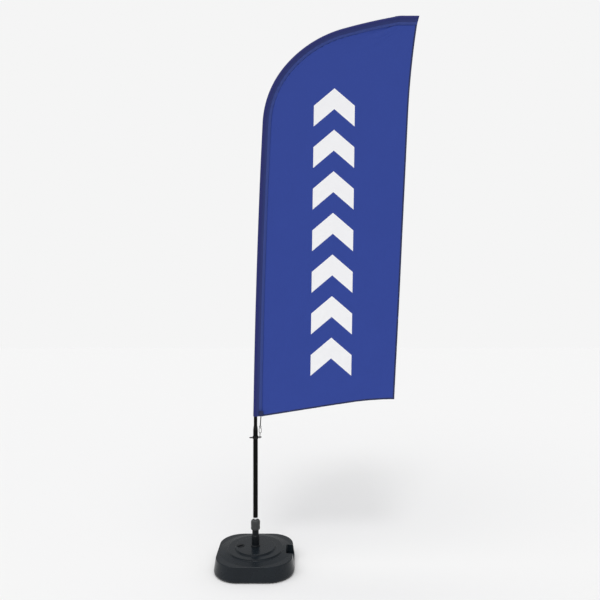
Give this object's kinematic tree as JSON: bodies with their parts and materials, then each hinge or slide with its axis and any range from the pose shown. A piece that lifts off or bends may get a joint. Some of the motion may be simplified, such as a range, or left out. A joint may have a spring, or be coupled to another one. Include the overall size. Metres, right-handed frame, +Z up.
{
  "type": "feather flag with pole",
  "caption": "Tall feather flag with a curved pole in a sewn sleeve, turning on a bearing spindle clamped in a water-fillable square base with a filler cap and a hand grip.",
  "frame": {"origin": "on the floor at the spin axis, the centre of the base's underside", "axes": "+Z up along the spin axis, the flag stands out towards +X in the plane Y = 0, +Y is the back"},
  "size_m": [1.1483, 0.4426, 3.0995],
  "materials": {
    "tank_plastic": "satin",
    "post_plastic": "satin",
    "fitting_plastic": "satin",
    "nylon": "satin",
    "black_rubber": "matte",
    "chromed_steel": "polished",
    "bright_steel": "satin",
    "plain_aluminium": "satin",
    "black_aluminium": "satin",
    "black_fibreglass": "gloss",
    "flag_cloth": "matte",
    "sleeve_cloth": "matte",
    "binding_tape": "matte",
    "elastic_webbing": "matte",
    "black_metal": "gloss"
  },
  "bodies": {
    "base": {"base_tank": "tank_plastic", "post_seal": "black_rubber", "post": "post_plastic", "guide_bush": "nylon"},
    "collet": {"collet": "nylon"},
    "clamp_nut": {"clamp_nut": "post_plastic"},
    "cap_gasket": {"filler_gasket": "black_rubber"},
    "filler_cap": {"filler_cap": "post_plastic"},
    "spindle": {"spindle_pin": "chromed_steel", "race_spacer": "bright_steel", "circlip": "bright_steel", "lower_inner_race": "bright_steel", "upper_inner_race": "bright_steel"},
    "ball_cages": {"lower_balls": "bright_steel", "upper_balls": "bright_steel", "lower_ball_cage": "nylon", "upper_ball_cage": "nylon"},
    "rotor": {"rotor_sleeve": "plain_aluminium", "dust_seal": "black_rubber", "rotor_cap": "fitting_plastic", "lower_outer_race": "bright_steel", "upper_outer_race": "bright_steel"},
    "pole": {"bottom_tube": "black_aluminium", "tube_guide": "nylon", "reducer": "fitting_plastic", "lug_collar": "fitting_plastic", "mid_pole": "black_fibreglass", "upper_pole": "black_fibreglass", "bend_pole": "black_fibreglass", "tip_rod": "black_fibreglass", "mid_ferrule": "black_aluminium", "upper_ferrule": "black_aluminium", "bend_ferrule": "black_aluminium", "tip_cap": "black_rubber", "flag_sleeve": "sleeve_cloth", "flag_panel": "flag_cloth", "trailing_binding": "binding_tape", "bottom_binding": "binding_tape", "tip_pocket": "sleeve_cloth", "tension_strap": "elastic_webbing", "corner_patch": "sleeve_cloth", "link_ring": "bright_steel", "snap_hook": "black_metal", "hook_pin": "bright_steel"},
    "hook_gate": {"hook_gate": "black_metal"}
  },
  "joints": [
    {"name": "nut_turn", "type": "hinge", "parent": "collet", "child": "clamp_nut", "pos_m": [0, 0, 0.2], "axis": [0, 0, 1], "range_deg": [0, 540]},
    {"name": "collet_rise", "type": "slide", "parent": "base", "child": "collet", "axis": [0, 0, 1], "range_m": [0, 0.006]},
    {"name": "cap_turn", "type": "hinge", "parent": "cap_gasket", "child": "filler_cap", "pos_m": [-0.084, 0, 0.1], "axis": [0, 0, 1], "range_deg": [0, 1080]},
    {"name": "cap_rise", "type": "slide", "parent": "base", "child": "cap_gasket", "axis": [0, 0, 1], "range_m": [0, 0.012]},
    {"name": "spindle_height", "type": "slide", "parent": "base", "child": "spindle", "axis": [0, 0, 1], "range_m": [0, 0.12]},
    {"name": "flag_spin", "type": "hinge", "parent": "spindle", "child": "rotor", "pos_m": [0, 0, 0.267], "axis": [0, 0, 1], "continuous": true},
    {"name": "cage_spin", "type": "hinge", "parent": "spindle", "child": "ball_cages", "pos_m": [0, 0, 0.272], "axis": [0, 0, 1], "continuous": true},
    {"name": "pole_lift", "type": "slide", "parent": "rotor", "child": "pole", "axis": [0, 0, 1], "range_m": [0, 0.15]},
    {"name": "gate_swing", "type": "hinge", "parent": "pole", "child": "hook_gate", "pos_m": [0.02075, -0.00539, 0.76554], "axis": [0, -1, 0], "range_deg": [0, 25], "stiffness_Nm_per_rad": 0.005, "springref_deg": -28.65}
  ],
  "couplings": [
    {"joint": "nut_turn", "follows": "collet_rise", "rad_per_m": 1570.6},
    {"joint": "cap_turn", "follows": "cap_rise", "rad_per_m": 1570.6},
    {"joint": "cage_spin", "follows": "flag_spin", "ratio": 0.6259}
  ]
}
